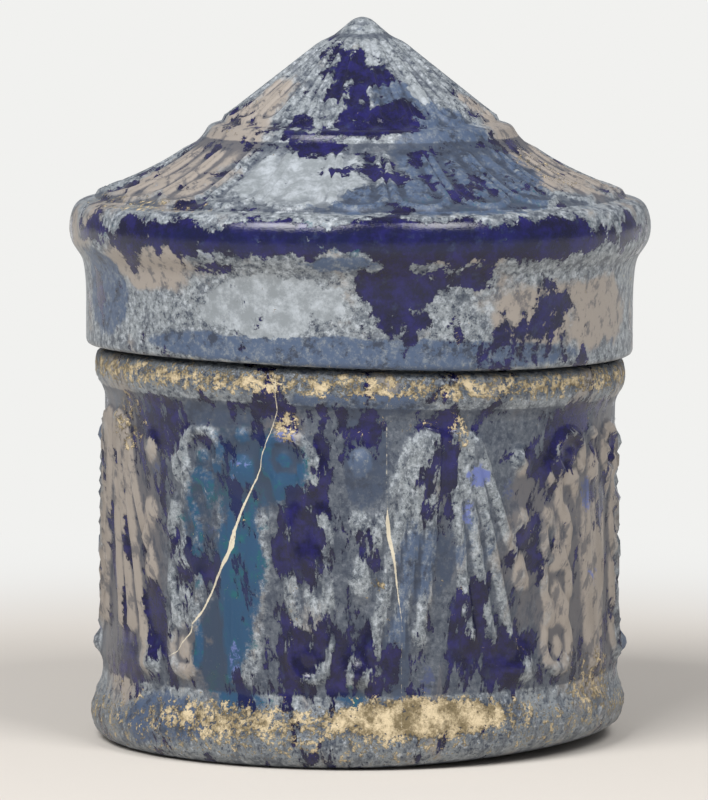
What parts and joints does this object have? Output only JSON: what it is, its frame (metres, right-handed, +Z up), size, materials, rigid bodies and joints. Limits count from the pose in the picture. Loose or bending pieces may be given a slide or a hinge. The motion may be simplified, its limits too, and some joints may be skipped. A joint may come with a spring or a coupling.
{
  "type": "pyxis",
  "caption": "Round lidded box of weathered cobalt-blue glass, with a palmette frieze and a conical lid that lifts straight off its collar.",
  "frame": {"origin": "centre of the object's bounding box, on the surface that the box stands on", "axes": "+Z up along the axis of the box and the lid, -Y towards the viewer of the picture, +X to the viewer's right"},
  "size_m": [0.0612, 0.0612, 0.076],
  "materials": {
    "box_glass": "cobalt-blue blown glass under a silver-grey and tan weathering film, with soil on the foot and the shoulder",
    "lid_glass": "cobalt-blue blown glass under a flaking silver-grey and slate-blue weathering film"
  },
  "bodies": {
    "box_body": {"box": "box_glass"},
    "lid_body": {"lid": "lid_glass"}
  },
  "joints": [
    {"name": "lid_lift", "type": "slide", "parent": "box_body", "child": "lid_body", "axis": [0, 0, 1], "range_m": [0, 0.03]}
  ]
}
